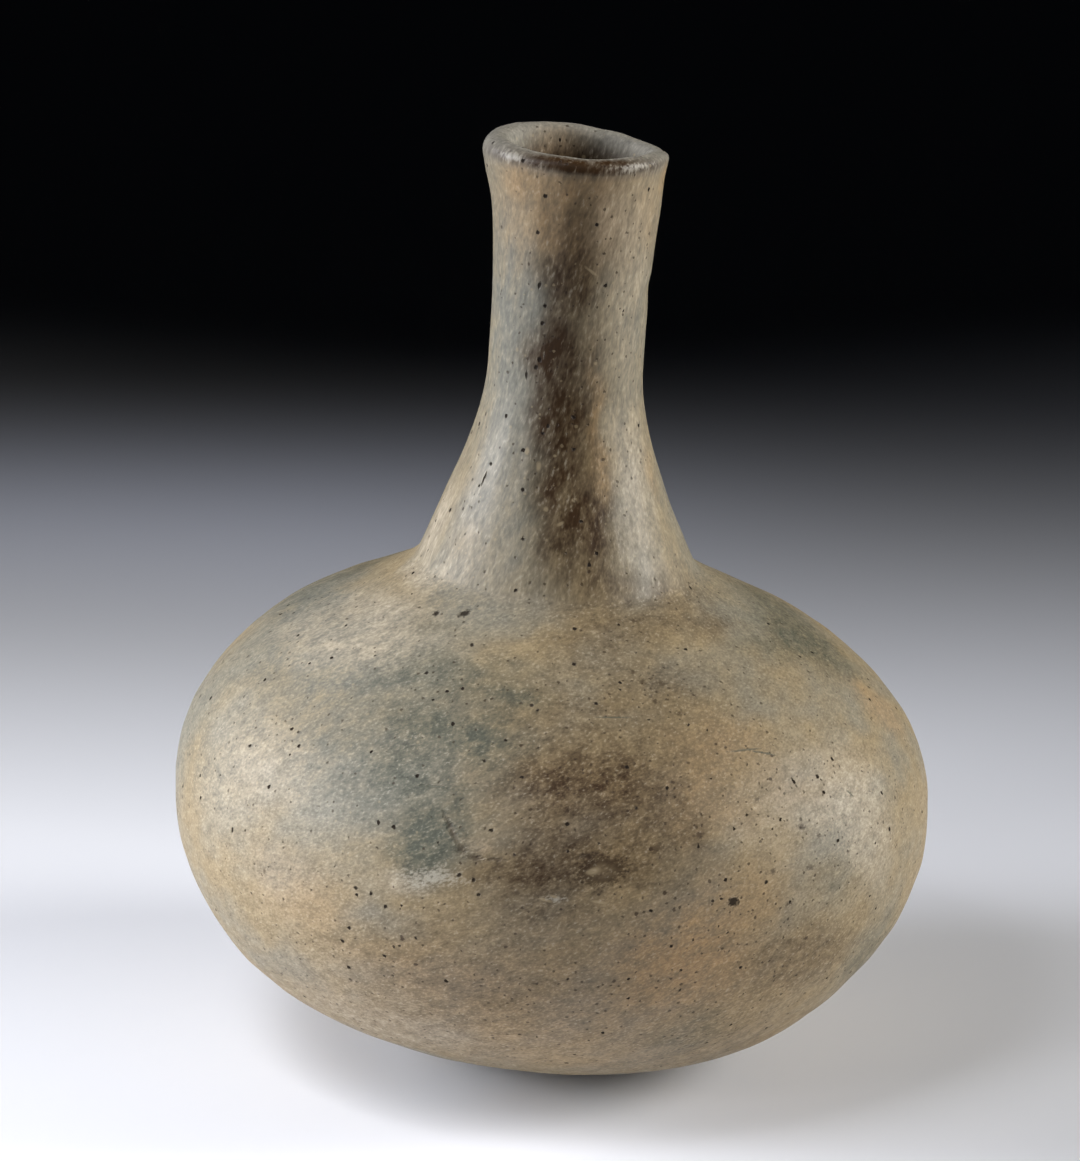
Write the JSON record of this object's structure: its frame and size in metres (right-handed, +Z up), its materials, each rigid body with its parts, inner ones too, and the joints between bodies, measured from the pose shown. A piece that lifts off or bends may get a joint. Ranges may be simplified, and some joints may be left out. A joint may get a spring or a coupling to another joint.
{
  "type": "long-neck earthenware bottle",
  "caption": "Hollow hand-built clay bottle with a squat rounded body, a concave neck and a thick rounded lip, standing with a slight lean on a small worn flat foot.",
  "frame": {"origin": "centre of the small flat foot, on the surface that the bottle stands on", "axes": "+Z up; the neck leans a few degrees towards +X; -Y is the side that the picture shows"},
  "size_m": [0.1792, 0.1794, 0.2205],
  "materials": {
    "fired_clay": "burnished, unglazed, mottled grey-brown"
  },
  "bodies": {
    "root": {"bottle": "fired_clay"}
  },
  "joints": []
}
